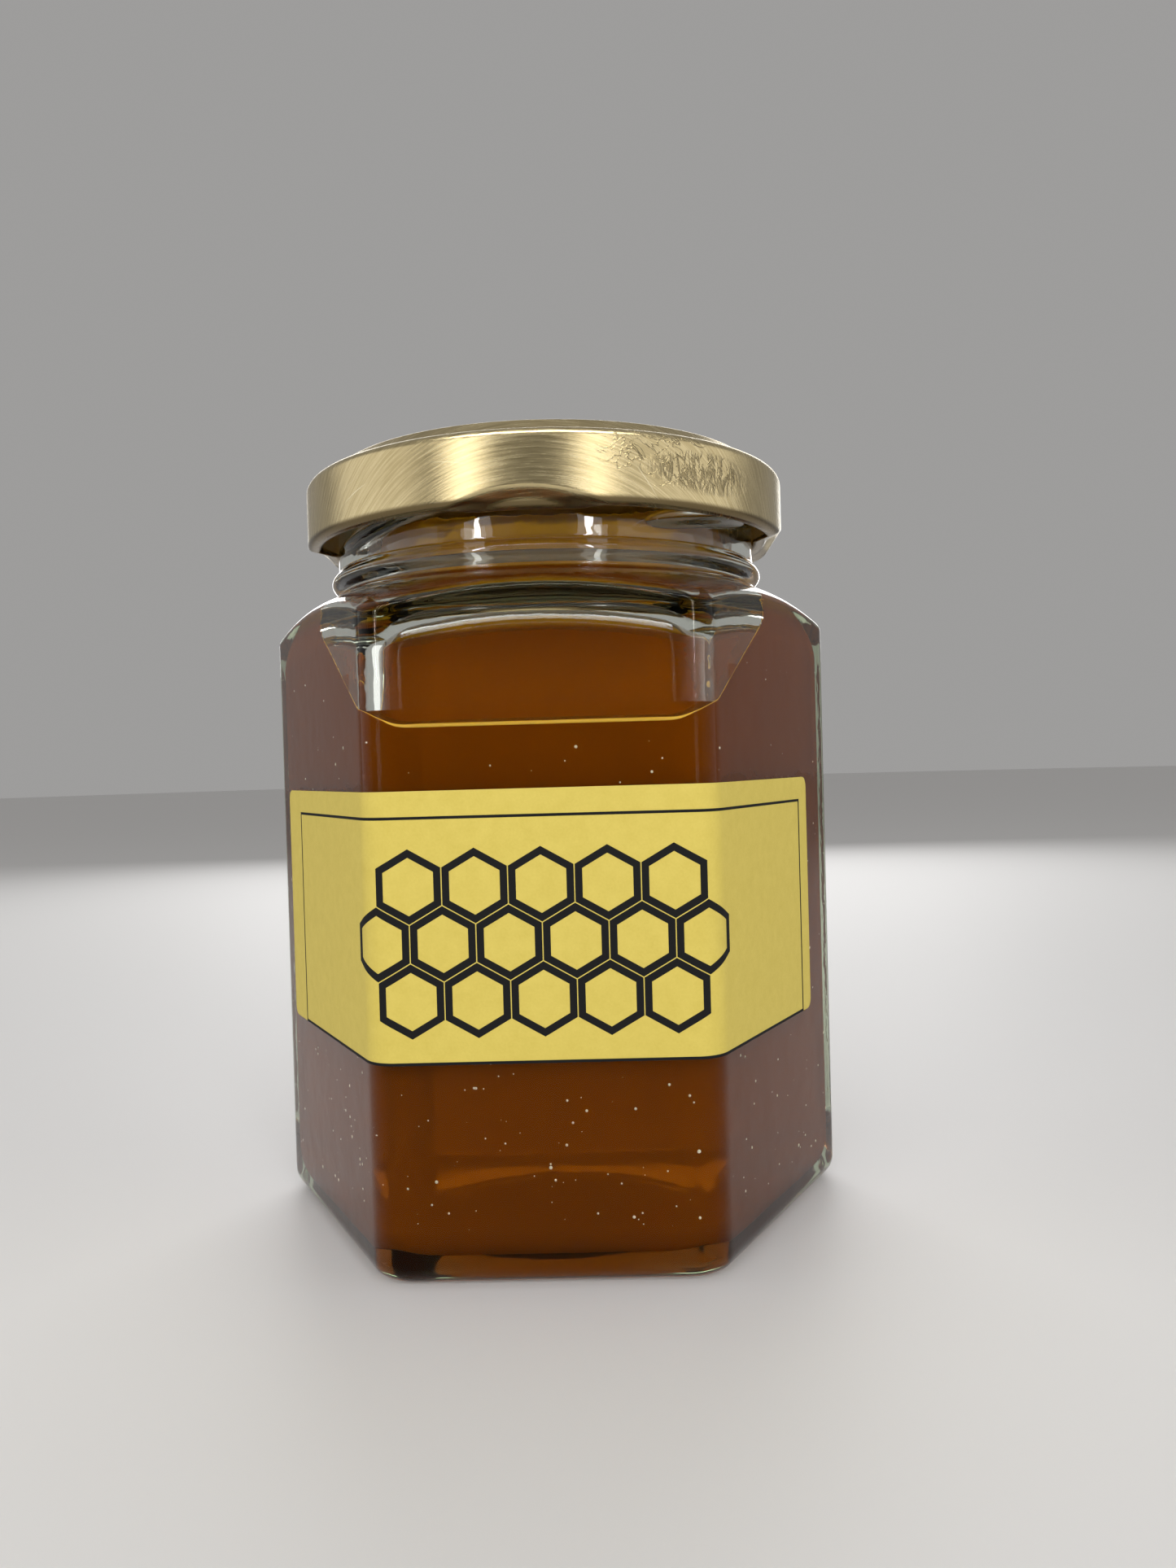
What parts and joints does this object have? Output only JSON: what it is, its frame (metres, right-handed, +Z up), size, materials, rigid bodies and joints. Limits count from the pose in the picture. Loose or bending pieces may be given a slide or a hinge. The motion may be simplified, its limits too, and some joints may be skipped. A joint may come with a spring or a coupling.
{
  "type": "honey jar",
  "caption": "Six-sided clear glass jar of dark honey, shut by a gold twist-off metal lid, with a plain yellow paper label wrapped over the front and on to the faces beside it.",
  "frame": {"origin": "middle of the base, at the level the jar stands on", "axes": "+Z up through the lid, -Y out of the labelled front face, +X to the right when facing the label"},
  "size_m": [0.078, 0.0688, 0.1013],
  "materials": {
    "glass": "clear, polished, faintly green where it is thick",
    "honey": "dark amber, glossy, see-through where it is thin",
    "gold_lid": "satin gold lacquer with fine scratches",
    "label_paper": "matte, with a thin black frame line"
  },
  "bodies": {
    "root": {"jar_glass": "glass", "honey": "honey", "lid": "gold_lid", "label": "label_paper"}
  },
  "joints": []
}
